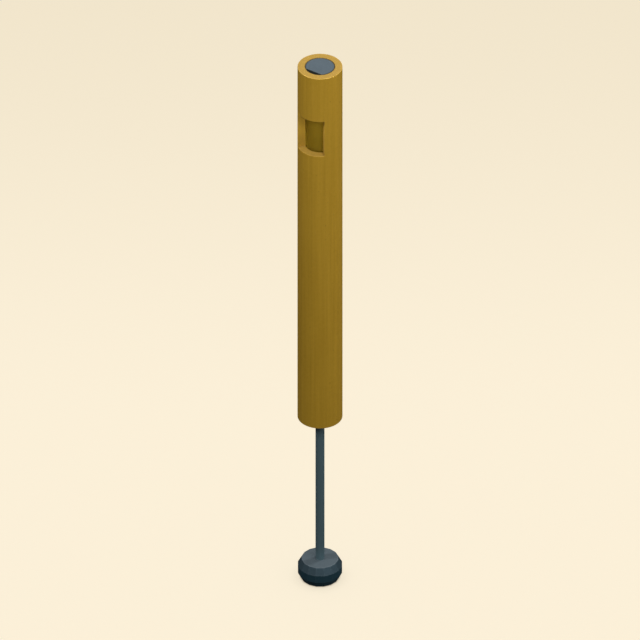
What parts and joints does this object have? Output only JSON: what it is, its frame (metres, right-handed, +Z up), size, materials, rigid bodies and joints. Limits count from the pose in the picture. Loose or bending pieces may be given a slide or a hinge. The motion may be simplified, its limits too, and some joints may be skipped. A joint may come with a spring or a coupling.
{
  "type": "slide whistle",
  "caption": "Slide whistle: a thick-walled brass tube with a sound window and a plugged mouth end, and a sealed piston on a thin rod with a faceted drum knob that it stands on.",
  "frame": {"origin": "centre of the knob's foot, which the whistle stands on", "axes": "+Z up the tube to the mouth end, -Y out of the sound window, +X to the right as seen from the window"},
  "size_m": [0.02, 0.02, 0.2756],
  "materials": {
    "barrel_brass": "satin turned brass",
    "plug_gunmetal": "satin gunmetal grey",
    "rod_gunmetal": "blued satin steel",
    "knob_gunmetal": "satin gunmetal grey",
    "fastener_steel": "plain steel",
    "bush_plastic": "black acetal",
    "seal_rubber": "black rubber",
    "felt": "pressed red felt"
  },
  "bodies": {
    "plunger": {"slide_rod": "rod_gunmetal", "back_nut": "fastener_steel", "back_washer": "fastener_steel", "piston_core": "bush_plastic", "front_washer": "fastener_steel", "lock_washer": "fastener_steel", "front_nut": "fastener_steel", "knob": "knob_gunmetal", "knob_grub_screw": "fastener_steel"},
    "barrel": {"barrel_tube": "barrel_brass", "fipple_plug": "plug_gunmetal", "tail_bush": "bush_plastic", "bumper_washer": "felt", "rod_wiper": "felt", "wiper_washer": "fastener_steel", "tail_snap_ring": "fastener_steel"},
    "piston_rings": {"piston_ring_lower": "seal_rubber", "piston_ring_upper": "seal_rubber"}
  },
  "joints": [
    {"name": "barrel_spin", "type": "hinge", "parent": "plunger", "child": "piston_rings", "pos_m": [0, 0, 0], "axis": [0, 0, 1], "continuous": true},
    {"name": "barrel_slide", "type": "slide", "parent": "piston_rings", "child": "barrel", "axis": [0, 0, 1], "range_m": [-0.0764, 0.0296]}
  ]
}
